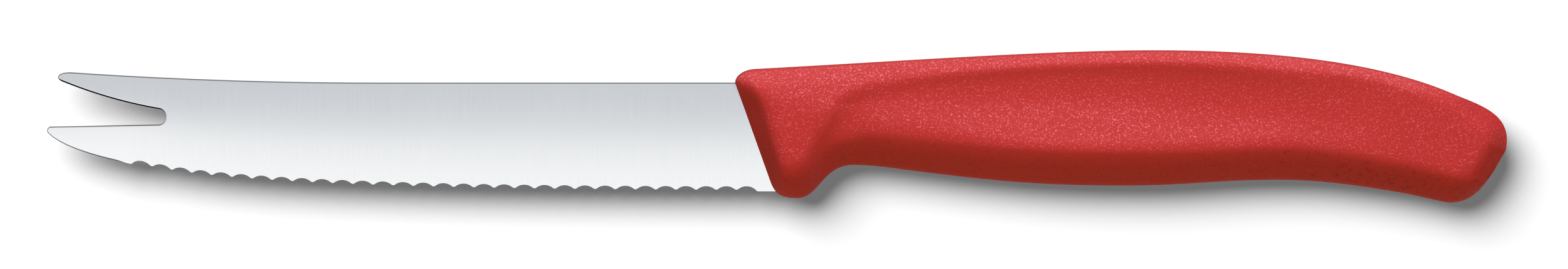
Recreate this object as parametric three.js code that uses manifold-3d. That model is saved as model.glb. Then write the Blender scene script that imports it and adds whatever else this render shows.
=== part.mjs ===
// Cheese knife with a forked tip: a wavy-edged steel blade, and a plastic handle moulded round its tang.
// Lengths are millimetres. The knife lies on its right side. +X runs from the tip to the butt, +Y from
// the edge to the spine, and +Z out of the blade's left face. Until the last step X = 0 is where the
// handle's front crosses the blade's middle line, Y = 0 is that line, and Z = 0 halves the thickness.

import * as THREE from 'three';
import { mergeVertices } from 'three/addons/utils/BufferGeometryUtils.js';
import Module from 'manifold-3d';

// Blade
const BLADE_LENGTH = 110; // tip of the longer tine to the handle, along the middle line
const BLADE_HEIGHT = 16.9; // spine to plain edge, at the handle
const SPINE_THICKNESS = 1.2;
const EDGE_THICKNESS = 0.5; // at the plain edge, before the teeth are ground
const SPINE_SWEEP = 51.1; // the spine starts to rise this far behind the tip
const SPINE_RISE = 1.6;
const BELLY_LENGTH = 20.2; // the edge turns up towards the tip over this length
const BELLY_RISE = 3; // and has already risen this far where that starts
const BELLY_HEADING = 9; // degrees, the edge's slope there

// Forked tip
const FORK_DEPTH = 18.5; // tip of the longer tine to the root of the fork
const FORK_ROOT_RADIUS = 1.19;
const FORK_ROOT_HEIGHT = 3.12; // centre of the root, above the middle line
const LONG_TINE_TOP = 1.62; // upper side of the longer tine at its nose, above the middle line
const LONG_TINE_NOSE = 0.62; // radius
const SHORT_TINE_SETBACK = 1.7; // the shorter tine ends this far behind the longer one
const SHORT_TINE_NOSE_LENGTH = 2;
const SHORT_TINE_NOSE_HEIGHT = 1.45;
const SHORT_TINE_BULGE = 0.45; // its underside is this full, measured from a straight line

// Teeth, ground from the right side only
const TOOTH_PITCH = 3.135;
const GULLET_DEPTH = 0.79; // below the plain edge
const TOOTH_RECESS = 0.25; // a tooth's rounded point stops this far short of the plain edge
const TOOTH_RADIUS = 0.45;
const HEEL_PLAIN = 2.9; // plain edge between the last gullet and the handle
const TINE_PLAIN = 13.4; // plain edge between the tip and the first gullet
const GRIND_ANGLE = 15; // degrees between the ground hollow and the left face
const EDGE_LAND = 0.1; // width left square at the left face

// Tang
const SEAT_DEPTH = 2.5; // the blade's full height goes this far into the handle
const HEEL_RADIUS = 2.5;
const TANG_LENGTH = 62; // handle's front to the tang's end
const TANG_STEP = 1.2; // spine down to the tang's upper side
const TANG_HEIGHT = 8.5;
const TANG_HOLE_DIAMETER = 4;
const TANG_HOLE_FRONT = 22; // handle's front to the first hole
const TANG_HOLE_PITCH = 26;
const TANG_CLEARANCE = 0.28; // round the tang and between each hole and its plug

// Handle outline seen from the side
const HANDLE_LENGTH = 116.5; // front to butt, along the middle line
const FRONT_SLANT = 20.5; // degrees, the front leans back towards the edge
const NOSE_RISE = 2.12; // back of the handle above the spine, at the nose
const NOSE_LENGTH = 3.13; // the nose's upper corner turns over within this length
const NOSE_START = 0.1; // below the spine, where that corner starts
const GUARD_START = 1.15; // above the plain edge, where the front starts to turn into the guard
const BACK_HEADING = 3; // degrees, the back rises from the nose
const CREST_FRONT = 61.8; // handle's front to the highest point of the back
const CREST_HEIGHT = 13.47; // above the middle line
const HIP_BUTT = 8.4; // from the butt, where the back turns down
const HIP_HEIGHT = 6.73;
const HIP_HEADING = -23.3; // degrees
const GUARD_DROP = 1.07; // guard's lowest point below the plain edge
const GUARD_FRONT = 6.4; // handle's front to that point
const NOTCH_FRONT = 15.3; // handle's front to the top of the finger notch
const NOTCH_DEPTH = 4.35; // underside below the middle line there
const GRIP_FRONT = 25;
const GRIP_DEPTH = 5.32;
const GRIP_HEADING = -7.2; // degrees
const SWELL_FRONT = 57.5;
const SWELL_DEPTH = 7.56;
const WAIST_BUTT = 35.5; // from the butt
const WAIST_DEPTH = 6.66;
const RAMP_BUTT = 16.5;
const RAMP_DEPTH = 8.62;
const RAMP_HEADING = -9.5; // degrees
const POMMEL_BUTT = 8.6;
const POMMEL_DEPTH = 10.2;
const BUTT_TOP_DEPTH = 2.1; // the butt is straight between these two depths
const BUTT_LOW_DEPTH = 5.6;
const BUTT_LOW_SETBACK = 2.2;
const BUTT_TOP_SETBACK = 0.2;
const BUTT_TOP_HEADING = -103; // degrees
const BUTT_LOW_HEADING = 60; // degrees

// Handle thickness and section
const GUARD_THICKNESS = 14;
const NOTCH_THICKNESS = 11.8;
const SWELL_THICKNESS = 13.8;
const BUTT_THICKNESS = 12.8;
const MOUTH_THICKNESS = 2.6; // at the very front, round the blade
const BUTT_LAND = 1.6; // at the very end
const NOSE_ROUND = 5.4; // the front swells to full thickness over this length
const BUTT_ROUND = 5.5;
const SHOULDER_DROP = 1.9; // back down to the shoulder line
const RIDGE_RISE = 5.7; // underside up to the ridge line, along the grip
const GUARD_RIDGE_RISE = 3.8; // and at the guard
const CREASE = 2; // shoulder and ridge turn over about this width
const SCOOP_DEPTH = 1.1; // hollow of each side between shoulder and ridge
const GUARD_BULGE = 0.7; // fullness of the side at the guard instead
const SCOOP_FRONT = 15.8; // handle's front to the middle of the scoop's front slope
const SCOOP_HEIGHT = 2.5; // at this height
const SCOOP_SLOPE = 7.5; // length of that slope
const SCOOP_LEAN = 43; // degrees, the slope leans back towards the spine
const SCOOP_FADE = 36; // from the butt, where the hollow starts to fade
const SCOOP_END = 12; // and where it is shallowest

// Form factors of the handle's section: half widths as shares of the half thickness
const BACK_WIDTH = 0.52;
const SHOULDER_WIDTH = 0.98;
const GUARD_SHOULDER_WIDTH = 0.86;
const BUTT_SHOULDER_WIDTH = 0.93;
const RIDGE_WIDTH = 1.03;
const BELLY_WIDTH = 0.38;

// How finely curves are cut into straight pieces
const CURVE_STEPS = 16;
const GULLET_STEPS = 7;
const TOOTH_STEPS = 3;
const SECTION_STEPS = 3;
const END_RINGS = 8;
const GRIP_RINGS = 38;

const RAD = Math.PI / 180;
const SPINE = BLADE_HEIGHT / 2;
const EDGE = -BLADE_HEIGHT / 2;
const TIP = -BLADE_LENGTH;

// Solids

const wasm = await Module();
wasm.setup();

// Turns a closed geometry into a solid that can be joined and cut.
function solidOf(geometry) {
  const bare = geometry.index ? geometry.toNonIndexed() : geometry.clone();
  bare.deleteAttribute('normal');
  bare.deleteAttribute('uv');
  const merged = mergeVertices(bare, 1e-5);
  return new wasm.Manifold(new wasm.Mesh({
    numProp: 3,
    vertProperties: new Float32Array(merged.attributes.position.array),
    triVerts: new Uint32Array(merged.index.array),
  }));
}

function geometryOf(solid) {
  const mesh = solid.getMesh();
  const geometry = new THREE.BufferGeometry();
  geometry.setAttribute('position', new THREE.BufferAttribute(new Float32Array(mesh.vertProperties), 3));
  geometry.setIndex(new THREE.BufferAttribute(new Uint32Array(mesh.triVerts), 1));
  geometry.computeVertexNormals();
  return geometry;
}

// A flat outline given a thickness, with its middle on Z = 0.
function plate(shape, thickness) {
  const geometry = new THREE.ExtrudeGeometry(shape, {
    depth: thickness,
    bevelEnabled: false,
    curveSegments: CURVE_STEPS,
  });
  return geometry.translate(0, 0, -thickness / 2);
}

function rod(diameter, height, x, y) {
  const geometry = new THREE.CylinderGeometry(diameter / 2, diameter / 2, height, 2 * CURVE_STEPS);
  return geometry.rotateX(Math.PI / 2).translate(x, y, 0);
}

function heading(degrees, length) {
  return new THREE.Vector2(Math.cos(degrees * RAD) * length, Math.sin(degrees * RAD) * length);
}

// X of the handle's slanted front at a height.
function frontAt(y) {
  return -y * Math.tan(FRONT_SLANT * RAD);
}

// Blade outline

const heelX = frontAt(EDGE);
const bellyX = TIP + BELLY_LENGTH;
const noseCentre = new THREE.Vector2(TIP + LONG_TINE_NOSE, LONG_TINE_TOP - LONG_TINE_NOSE);
const noseStart = noseCentre.clone().add(heading(225, LONG_TINE_NOSE));

// The plain edge, from the handle to the tip: level at the heel, and turned up over the belly.
function plainEdge() {
  const belly = new THREE.Vector2(bellyX, EDGE + BELLY_RISE);
  const run = heelX - bellyX;
  const path = new THREE.CurvePath();
  path.add(new THREE.CubicBezierCurve(
    new THREE.Vector2(heelX, EDGE),
    new THREE.Vector2(heelX - 0.46 * run, EDGE),
    belly.clone().add(heading(-BELLY_HEADING, 0.16 * run)),
    belly,
  ));
  path.add(new THREE.CubicBezierCurve(
    belly,
    belly.clone().sub(heading(-BELLY_HEADING, 0.4 * BELLY_LENGTH)),
    noseStart.clone().add(heading(-45, 0.21 * BELLY_LENGTH)),
    noseStart,
  ));
  return path;
}

function bladeOutline() {
  const root = new THREE.Vector2(TIP + FORK_DEPTH - FORK_ROOT_RADIUS, FORK_ROOT_HEIGHT);
  const shortTip = TIP + SHORT_TINE_SETBACK;
  const tineTop = SPINE + SPINE_RISE;
  const tineFoot = new THREE.Vector2(shortTip + 0.3 * SHORT_TINE_NOSE_LENGTH, tineTop - SHORT_TINE_NOSE_HEIGHT);
  const sweepEnd = shortTip + SHORT_TINE_NOSE_LENGTH;
  const sweepStart = TIP + SPINE_SWEEP;
  const rootTop = root.clone().add(heading(80, FORK_ROOT_RADIUS));
  const underBend = tineFoot.clone().lerp(rootTop, 0.5);
  underBend.y -= 2 * SHORT_TINE_BULGE;
  const shape = new THREE.Shape();
  shape.moveTo(heelX, EDGE);
  for (const point of plainEdge().getSpacedPoints(5 * CURVE_STEPS).slice(1)) {
    shape.lineTo(point.x, point.y);
  }
  shape.absarc(noseCentre.x, noseCentre.y, LONG_TINE_NOSE, 225 * RAD, 90 * RAD, true);
  shape.absarc(root.x, root.y, FORK_ROOT_RADIUS, -90 * RAD, 80 * RAD, false);
  shape.quadraticCurveTo(underBend.x, underBend.y, tineFoot.x, tineFoot.y);
  shape.quadraticCurveTo(shortTip, tineFoot.y + 0.2 * SHORT_TINE_NOSE_HEIGHT, shortTip, tineTop - 0.55 * SHORT_TINE_NOSE_HEIGHT);
  shape.quadraticCurveTo(shortTip, tineTop, sweepEnd, tineTop);
  shape.quadraticCurveTo((sweepStart + sweepEnd) / 2, SPINE, sweepStart, SPINE);
  drawSeat(shape, 0);
  return shape;
}

// Draws what lies inside the handle, from the spine round the tang to the edge: the blade's heel, stepping
// down to the tang. The handle's cavity follows the same line, grown by the clearance.
function drawSeat(shape, grow) {
  const shoulder = (y) => frontAt(y) + SEAT_DEPTH + grow;
  const top = SPINE - TANG_STEP + grow;
  const low = SPINE - TANG_STEP - TANG_HEIGHT - grow;
  const end = (top - low) / 2;
  const base = EDGE - grow;
  const corner = Math.min(HEEL_RADIUS, SEAT_DEPTH);
  const lean = heading(90 + FRONT_SLANT, corner);
  shape.lineTo(shoulder(SPINE + grow), SPINE + grow);
  shape.lineTo(shoulder(top), top);
  shape.absarc(TANG_LENGTH + grow - end, low + end, end, 90 * RAD, -90 * RAD, true);
  shape.lineTo(shoulder(low), low);
  shape.lineTo(shoulder(base) + lean.x, base + lean.y);
  shape.quadraticCurveTo(shoulder(base), base, shoulder(base) - corner, base);
}

function cavityOutline(grow) {
  const shape = new THREE.Shape();
  shape.moveTo(frontAt(SPINE) - NOSE_ROUND, SPINE + grow);
  drawSeat(shape, grow);
  shape.lineTo(frontAt(EDGE) - NOSE_ROUND, EDGE - grow);
  shape.closePath();
  return shape;
}

// The wedge that grinding takes off one side (1 is the left, -1 the right), as far as the seat in the handle.
function grindWedge(side, grow) {
  const out = SPINE_THICKNESS / 2 + grow;
  const fall = (SPINE_THICKNESS - EDGE_THICKNESS) / 2;
  const away = out + SPINE_THICKNESS + fall;
  const length = BLADE_LENGTH + BLADE_HEIGHT;
  const profile = new THREE.Shape();
  profile.moveTo(SPINE + BLADE_HEIGHT, side * (out + fall));
  profile.lineTo(EDGE - BLADE_HEIGHT, side * (out - 2 * fall));
  profile.lineTo(EDGE - BLADE_HEIGHT, side * away);
  profile.lineTo(SPINE + BLADE_HEIGHT, side * away);
  profile.closePath();
  const wedge = new THREE.ExtrudeGeometry(profile, { depth: length, bevelEnabled: false });
  // the profile's own x, y and depth become Y, Z and X, and the end leans as the handle's front does
  wedge.applyMatrix4(new THREE.Matrix4().set(
    -Math.tan(FRONT_SLANT * RAD), 0, 1, SEAT_DEPTH - grow - length,
    1, 0, 0, 0,
    0, 1, 0, 0,
    0, 0, 0, 1,
  ));
  return wedge;
}

// Teeth

// Gullets are arcs joined by rounded points that touch them. This gives the gullet's radius.
const toothCentre = TOOTH_RECESS + TOOTH_RADIUS;
const gulletRadius = ((TOOTH_PITCH / 2) ** 2 + (toothCentre - GULLET_DEPTH) ** 2 - TOOTH_RADIUS ** 2)
  / (2 * (TOOTH_RADIUS - toothCentre + GULLET_DEPTH));
const gulletEdge = gulletRadius * TOOTH_PITCH / 2 / (gulletRadius + TOOTH_RADIUS);
const gulletRunout = Math.sqrt(gulletRadius ** 2 - (gulletRadius - GULLET_DEPTH) ** 2);

// Everything outside the wavy line, as an outline.
function teethOutline() {
  const edge = plainEdge();
  const length = edge.getLength();
  const count = Math.floor((length - HEEL_PLAIN - TINE_PLAIN - 2 * gulletRunout) / TOOTH_PITCH) + 1;
  const first = HEEL_PLAIN + gulletRunout;
  const place = (distance, depth) => {
    const at = edge.getPoint(distance / length);
    return new THREE.Vector2(at.x, at.y + depth);
  };
  const points = [];
  for (let i = 0; i < count; i += 1) {
    const centre = first + i * TOOTH_PITCH;
    const from = i === 0 ? -gulletRunout : -gulletEdge;
    const to = i === count - 1 ? gulletRunout : gulletEdge;
    for (let k = 0; k <= GULLET_STEPS; k += 1) {
      const along = from + (to - from) * k / GULLET_STEPS;
      const depth = GULLET_DEPTH - gulletRadius + Math.sqrt(gulletRadius ** 2 - along ** 2);
      points.push(place(centre + along, depth));
    }
    for (let k = 1; k < TOOTH_STEPS && i < count - 1; k += 1) {
      const off = (TOOTH_PITCH / 2 - gulletEdge) * (2 * k / TOOTH_STEPS - 1);
      const depth = toothCentre - Math.sqrt(TOOTH_RADIUS ** 2 - off ** 2);
      points.push(place(centre + TOOTH_PITCH / 2 + off, depth));
    }
  }
  const last = points[points.length - 1];
  const outside = EDGE - BLADE_HEIGHT / 2;
  points.push(new THREE.Vector2(last.x - GULLET_DEPTH, last.y - GULLET_DEPTH));
  points.push(new THREE.Vector2(last.x - GULLET_DEPTH, outside));
  points.push(new THREE.Vector2(points[0].x + GULLET_DEPTH, outside));
  points.push(new THREE.Vector2(points[0].x + GULLET_DEPTH, points[0].y - GULLET_DEPTH));
  return new THREE.Shape(points.reverse());
}

// Behind the land the ground hollow climbs away from the wavy line at the grinding angle.
function teethHollow() {
  const depth = 2 * SPINE_THICKNESS;
  const land = EDGE_THICKNESS / 2 - EDGE_LAND;
  const climb = 1 / Math.tan(GRIND_ANGLE * RAD);
  const geometry = new THREE.ExtrudeGeometry(teethOutline(), { depth, bevelEnabled: false });
  geometry.translate(0, 0, land - depth);
  geometry.applyMatrix4(new THREE.Matrix4().set(
    1, 0, 0, 0,
    0, 1, -climb, climb * land,
    0, 0, 1, 0,
    0, 0, 0, 1,
  ));
  return geometry;
}

const tangMiddle = SPINE - TANG_STEP - TANG_HEIGHT / 2;
const holePlaces = [TANG_HOLE_FRONT, TANG_HOLE_FRONT + TANG_HOLE_PITCH];

function bladeSolid() {
  let steel = solidOf(plate(bladeOutline(), SPINE_THICKNESS));
  steel = steel.subtract(solidOf(grindWedge(1, 0))).subtract(solidOf(grindWedge(-1, 0)));
  steel = steel.subtract(solidOf(plate(teethOutline(), 2 * SPINE_THICKNESS)));
  steel = steel.subtract(solidOf(teethHollow()));
  for (const x of holePlaces) {
    steel = steel.subtract(solidOf(rod(TANG_HOLE_DIAMETER, 2 * SPINE_THICKNESS, x, tangMiddle)));
  }
  return steel;
}

// Handle

// A smooth line through knots. Each knot has its place, the heading it is passed with, and how strongly
// that heading holds before and after it, as shares of the distance to the next knot.
function rail(knots) {
  const path = new THREE.CurvePath();
  for (let i = 1; i < knots.length; i += 1) {
    const [a, b] = [knots[i - 1], knots[i]];
    const start = new THREE.Vector2(a.x, a.y);
    const end = new THREE.Vector2(b.x, b.y);
    const reach = start.distanceTo(end);
    path.add(new THREE.CubicBezierCurve(
      start,
      start.clone().add(heading(a.turn, reach * a.after)),
      end.clone().sub(heading(b.turn, reach * b.before)),
      end,
    ));
  }
  return path;
}

const noseTop = SPINE - NOSE_START;
const noseLow = EDGE + GUARD_START;
const nosePlace = frontAt(noseTop) + NOSE_LENGTH;

const backRail = rail([
  { x: frontAt(noseTop), y: noseTop, turn: 90 + FRONT_SLANT, after: 0.16 },
  { x: nosePlace, y: SPINE + NOSE_RISE, turn: BACK_HEADING, before: 0.66, after: 0.33 },
  { x: CREST_FRONT, y: CREST_HEIGHT, turn: 0, before: 0.27, after: 0.43 },
  { x: HANDLE_LENGTH - HIP_BUTT, y: HIP_HEIGHT, turn: HIP_HEADING, before: 0.25, after: 0.38 },
  { x: HANDLE_LENGTH - BUTT_TOP_SETBACK, y: -BUTT_TOP_DEPTH, turn: BUTT_TOP_HEADING, before: 0.49 },
]);

const bellyRail = rail([
  { x: frontAt(noseLow), y: noseLow, turn: FRONT_SLANT - 90, after: 0.4 },
  { x: GUARD_FRONT, y: EDGE - GUARD_DROP, turn: 0, before: 0.45, after: 0.35 },
  { x: NOTCH_FRONT, y: -NOTCH_DEPTH, turn: 0, before: 0.49, after: 0.3 },
  { x: GRIP_FRONT, y: -GRIP_DEPTH, turn: GRIP_HEADING, before: 0.4, after: 0.4 },
  { x: SWELL_FRONT, y: -SWELL_DEPTH, turn: 0, before: 0.4, after: 0.4 },
  { x: HANDLE_LENGTH - WAIST_BUTT, y: -WAIST_DEPTH, turn: 0, before: 0.4, after: 0.35 },
  { x: HANDLE_LENGTH - RAMP_BUTT, y: -RAMP_DEPTH, turn: RAMP_HEADING, before: 0.35, after: 0.38 },
  { x: HANDLE_LENGTH - POMMEL_BUTT, y: -POMMEL_DEPTH, turn: 0, before: 0.15, after: 0.37 },
  { x: HANDLE_LENGTH - BUTT_LOW_SETBACK, y: -BUTT_LOW_DEPTH, turn: BUTT_LOW_HEADING, before: 0.41 },
]);

// Full half thickness at a station, eased between the four that are given.
function halfThickness(x) {
  const stations = [
    [GUARD_FRONT, GUARD_THICKNESS],
    [NOTCH_FRONT, NOTCH_THICKNESS],
    [SWELL_FRONT, SWELL_THICKNESS],
    [HANDLE_LENGTH, BUTT_THICKNESS],
  ];
  let thickness = stations[0][1];
  for (let i = 1; i < stations.length; i += 1) {
    const share = THREE.MathUtils.smoothstep(x, stations[i - 1][0], stations[i][0]);
    thickness += share * (stations[i][1] - stations[i - 1][1]);
  }
  return thickness / 2;
}

// How far a place on the side has left the guard for the scoop.
function gripShare(point) {
  const x = point.x - (point.y - SCOOP_HEIGHT) * Math.tan(SCOOP_LEAN * RAD);
  return THREE.MathUtils.smoothstep(x, SCOOP_FRONT - SCOOP_SLOPE / 2, SCOOP_FRONT + SCOOP_SLOPE / 2);
}

// How far it has come into the butt, where the scoop fades.
function buttShare(point) {
  return THREE.MathUtils.smoothstep(point.x, HANDLE_LENGTH - SCOOP_FADE, HANDLE_LENGTH - SCOOP_END);
}

// How hollow the side is at a place on it. The guard's side is full instead.
function hollowAt(point) {
  return gripShare(point) * (SCOOP_DEPTH + GUARD_BULGE) * (1 - 0.5 * buttShare(point)) - GUARD_BULGE;
}

function shoulderAt(point) {
  const grip = THREE.MathUtils.lerp(SHOULDER_WIDTH, BUTT_SHOULDER_WIDTH, buttShare(point));
  return THREE.MathUtils.lerp(GUARD_SHOULDER_WIDTH, grip, gripShare(point));
}

// Swelling of the nose: zero at the front itself, one from the given length inwards, and nearly a chamfer.
function noseSwell(distance) {
  const left = Math.max(0, 1 - distance / NOSE_ROUND);
  return 1 - left ** 1.35;
}

// Rounding of the butt: zero at the end itself.
function buttRound(distance) {
  const left = Math.max(0, 1 - distance / BUTT_ROUND);
  return Math.sqrt(1 - left ** 2);
}

// The left half of a ring's control line, as pairs: how far down from the back, and how far out.
function sectionCorners(back, belly, full) {
  const height = back.distanceTo(belly);
  const middle = (back.x + belly.x) / 2;
  const notch = THREE.MathUtils.smoothstep(middle, GUARD_FRONT, NOTCH_FRONT);
  const rise = THREE.MathUtils.lerp(GUARD_RIDGE_RISE, RIDGE_RISE, notch);
  const shoulder = Math.min(SHOULDER_DROP, 0.15 * height);
  const ridge = height - Math.min(rise, 0.4 * height);
  const crease = Math.min(CREASE, 0.25 * (ridge - shoulder), 0.4 * (height - ridge));
  const place = (down) => back.clone().lerp(belly, down / height);
  const shoulderWidth = shoulderAt(place(shoulder));
  const side = (down) => {
    const share = (down - shoulder) / (ridge - shoulder);
    const hollow = hollowAt(place(down)) / full;
    return THREE.MathUtils.lerp(shoulderWidth, RIDGE_WIDTH, share) - 4 * share * (1 - share) * hollow;
  };
  const flank = THREE.MathUtils.lerp(RIDGE_WIDTH, BELLY_WIDTH, 0.9 * crease / (height - ridge));
  return [
    [0, BACK_WIDTH],
    [shoulder, shoulderWidth],
    [shoulder + crease, side(shoulder + crease)],
    [(shoulder + ridge) / 2, side((shoulder + ridge) / 2)],
    [ridge - crease, side(ridge - crease)],
    [ridge, RIDGE_WIDTH],
    [ridge + crease, flank],
    [height, BELLY_WIDTH],
  ];
}

// One ring of the handle. It runs from the back rail down the left side to the belly rail and up again,
// as a smooth closed line steered by its corners.
function ring(share) {
  const back = backRail.getPoint(share);
  const belly = bellyRail.getPoint(share);
  const travel = (backRail.getLength() + bellyRail.getLength()) / 2;
  const full = halfThickness((back.x + belly.x) / 2);
  const mouth = MOUTH_THICKNESS / 2;
  const land = BUTT_LAND / 2;
  const swollen = mouth + (full - mouth) * noseSwell(share * travel);
  const half = land + (swollen - land) * buttRound((1 - share) * travel);
  const corners = sectionCorners(back, belly, full);
  const loop = [...corners, ...corners.map(([down, out]) => [down, -out]).reverse()];
  const line = [];
  loop.forEach((corner, i) => {
    const before = loop[(i + loop.length - 1) % loop.length];
    const after = loop[(i + 1) % loop.length];
    const bend = new THREE.QuadraticBezierCurve(
      new THREE.Vector2((before[0] + corner[0]) / 2, (before[1] + corner[1]) / 2),
      new THREE.Vector2(corner[0], corner[1]),
      new THREE.Vector2((after[0] + corner[0]) / 2, (after[1] + corner[1]) / 2),
    );
    line.push(...bend.getPoints(SECTION_STEPS).slice(0, -1));
  });
  const widest = Math.max(...line.map((point) => point.y));
  const height = back.distanceTo(belly);
  return line.map((point) => {
    const flat = back.clone().lerp(belly, point.x / height);
    return new THREE.Vector3(flat.x, flat.y, half * point.y / widest);
  });
}

// The rings stand close together where the ends round over.
function ringShares() {
  const travel = (backRail.getLength() + bellyRail.getLength()) / 2;
  const ease = (k) => 1 - Math.cos(k / END_RINGS * Math.PI / 2);
  const shares = [];
  for (let k = 0; k < END_RINGS; k += 1) {
    shares.push(ease(k) * NOSE_ROUND / travel);
  }
  const from = NOSE_ROUND / travel;
  const to = 1 - BUTT_ROUND / travel;
  for (let k = 0; k <= GRIP_RINGS; k += 1) {
    shares.push(from + (to - from) * k / GRIP_RINGS);
  }
  for (let k = END_RINGS - 1; k >= 0; k -= 1) {
    shares.push(1 - ease(k) * BUTT_ROUND / travel);
  }
  return shares;
}

// Rings joined into one closed skin, with a flat cap at each end.
function handleSkin() {
  const rings = ringShares().map(ring);
  const around = rings[0].length;
  const points = rings.flat();
  const faces = [];
  for (let i = 0; i + 1 < rings.length; i += 1) {
    for (let k = 0; k < around; k += 1) {
      const a = i * around + k;
      const b = i * around + (k + 1) % around;
      faces.push(a, b, a + around, b, b + around, a + around);
    }
  }
  for (const [loop, start] of [[rings[0], 0], [rings[rings.length - 1], points.length - around]]) {
    const centre = loop.reduce((sum, point) => sum.add(point), new THREE.Vector3()).divideScalar(around);
    const hub = points.push(centre) - 1;
    for (let k = 0; k < around; k += 1) {
      const a = start + k;
      const b = start + (k + 1) % around;
      faces.push(...(start === 0 ? [hub, b, a] : [hub, a, b]));
    }
  }
  const geometry = new THREE.BufferGeometry().setFromPoints(points);
  geometry.setIndex(faces);
  return geometry;
}

function handleSolid() {
  const depth = SPINE_THICKNESS + 2 * TANG_CLEARANCE;
  let cavity = solidOf(plate(cavityOutline(TANG_CLEARANCE), depth));
  cavity = cavity.subtract(solidOf(grindWedge(1, TANG_CLEARANCE)));
  cavity = cavity.subtract(solidOf(grindWedge(-1, TANG_CLEARANCE)));
  for (const x of holePlaces) {
    const plug = rod(TANG_HOLE_DIAMETER - 2 * TANG_CLEARANCE, 2 * depth, x, tangMiddle);
    cavity = cavity.subtract(solidOf(plug));
  }
  return solidOf(handleSkin()).subtract(cavity);
}

// Assembly

const steel = new THREE.MeshStandardMaterial({ color: 0xdadcdf, roughness: 0.28, metalness: 1 });
const redPlastic = new THREE.MeshStandardMaterial({ color: 0xc13735, roughness: 0.5, metalness: 0 });

const blade = new THREE.Mesh(geometryOf(bladeSolid()), steel);
blade.name = 'blade';

const handle = new THREE.Mesh(geometryOf(handleSolid()), redPlastic);
handle.name = 'handle';

// The knife rests on its right side, centred over the origin.
const laid = new THREE.Group();
laid.add(blade, handle);
const box = new THREE.Box3().setFromObject(laid);
const centre = box.getCenter(new THREE.Vector3());
laid.position.set(-centre.x, -centre.y, -box.min.z);

const knife = new THREE.Group();
knife.add(laid);
knife.updateMatrixWorld(true);

export default knife;
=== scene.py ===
# %% [markdown]
# # Cheese knife with a forked tip
# A small table knife in two pieces: a blade of stainless steel, and a red plastic handle that is moulded
# round the blade's tang in one shot. The CAD model gives the true sizes and the place of each piece.
# This script gives the knife its looks: a finely ground blade with a wavy edge, a handle with soft
# hollows and a grained skin, a white table, studio light and the camera.

import math

import bpy
import numpy as np
from mathutils import Matrix, Vector, geometry, kdtree


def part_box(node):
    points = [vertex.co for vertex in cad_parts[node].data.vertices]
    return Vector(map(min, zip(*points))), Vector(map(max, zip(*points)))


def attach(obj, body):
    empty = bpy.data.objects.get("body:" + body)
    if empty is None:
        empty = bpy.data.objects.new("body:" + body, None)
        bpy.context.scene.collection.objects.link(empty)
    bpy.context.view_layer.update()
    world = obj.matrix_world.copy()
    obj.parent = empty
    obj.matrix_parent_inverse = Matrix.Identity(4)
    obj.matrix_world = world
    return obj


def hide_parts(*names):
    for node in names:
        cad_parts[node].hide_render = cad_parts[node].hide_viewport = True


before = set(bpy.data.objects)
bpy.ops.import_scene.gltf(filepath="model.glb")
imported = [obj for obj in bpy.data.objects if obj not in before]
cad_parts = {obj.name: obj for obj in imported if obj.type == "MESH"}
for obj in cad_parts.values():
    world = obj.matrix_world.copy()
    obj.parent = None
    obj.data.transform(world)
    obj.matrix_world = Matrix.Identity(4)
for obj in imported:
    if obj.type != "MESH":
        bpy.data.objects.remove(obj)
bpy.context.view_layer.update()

# %% [markdown]
# ## The knife's own axes
# Everything is drawn in millimetres on axes that suit a knife: X = 0 is where the handle's front crosses
# the blade's middle line, Y = 0 is that line, and Z = 0 halves the thickness. One matrix, found from the
# CAD blade, then takes a finished mesh to its place in metres. Drawing straight in metres in the shared
# frame would work too, but every number would be harder to read.

# %% From the knife's axes to the frame
MM = 0.001
BLADE_LENGTH = 110
BLADE_HEIGHT = 16.9
SPINE = BLADE_HEIGHT / 2
EDGE = -BLADE_HEIGHT / 2
TIP = -BLADE_LENGTH
SPINE_RISE = 1.6

steel_low, steel_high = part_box("blade")
datum = Vector((
    steel_low.x - MM * TIP,
    steel_high.y - MM * (SPINE + SPINE_RISE),
    (steel_low.z + steel_high.z) / 2,
))
to_frame = Matrix.Translation(datum) @ Matrix.Scale(MM, 4)
print("datum in mm:", [round(1000 * part, 3) for part in datum])

# %% [markdown]
# ## Small tools
# Curves are sampled with numpy, because the blade's outline and the handle's rails are a few Bezier curves
# and arcs each. One function adds a node to any tree, with its settings, values and links, so that
# materials, the world and Geometry Nodes are all written in the same way.

# %% Curves


def heading(degrees, length=1.0):
    """A step of that length in that direction."""
    angle = math.radians(degrees)
    return np.array((math.cos(angle), math.sin(angle))) * length


def bezier(*corners, count=80):
    """Points on the Bezier curve that these corners steer."""
    share = np.linspace(0, 1, count)[:, None]
    points = [np.array(corner, float) for corner in corners]
    while len(points) > 1:
        points = [(1 - share) * a + share * b for a, b in zip(points, points[1:])]
    return points[0]


def arc(centre, radius, start, end, count=40):
    angles = np.radians(np.linspace(start, end, count))
    return np.array(centre) + radius * np.column_stack((np.cos(angles), np.sin(angles)))


def travel(points):
    """Distance along a line, for each of its points."""
    steps = np.linalg.norm(np.diff(points, axis=0), axis=1)
    return np.concatenate(((0,), np.cumsum(steps)))


def along(points, distances):
    """Places on a line at these distances from its start."""
    run = travel(points)
    return np.column_stack([np.interp(distances, run, points[:, axis]) for axis in (0, 1)])


def evenly(points, step):
    """The same line with its points one step apart."""
    run = travel(points)
    count = max(2, round(run[-1] / step) + 1)
    return along(points, np.linspace(0, run[-1], count))


def smoothstep(value, low, high):
    share = np.clip((value - low) / (high - low), 0, 1)
    return share * share * (3 - 2 * share)


# %% Nodes, colours and numbers on a mesh
MATH = "ShaderNodeMath"
MIX = "ShaderNodeMix"
RANGE = "ShaderNodeMapRange"  # takes a value, its least and most, and the new least and most
NOISE = "ShaderNodeTexNoise"
COLOUR_A = 6  # where a mix node takes its two colours, and where it gives the mixed one
COLOUR_B = 7
COLOUR_MIXED = 2


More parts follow.
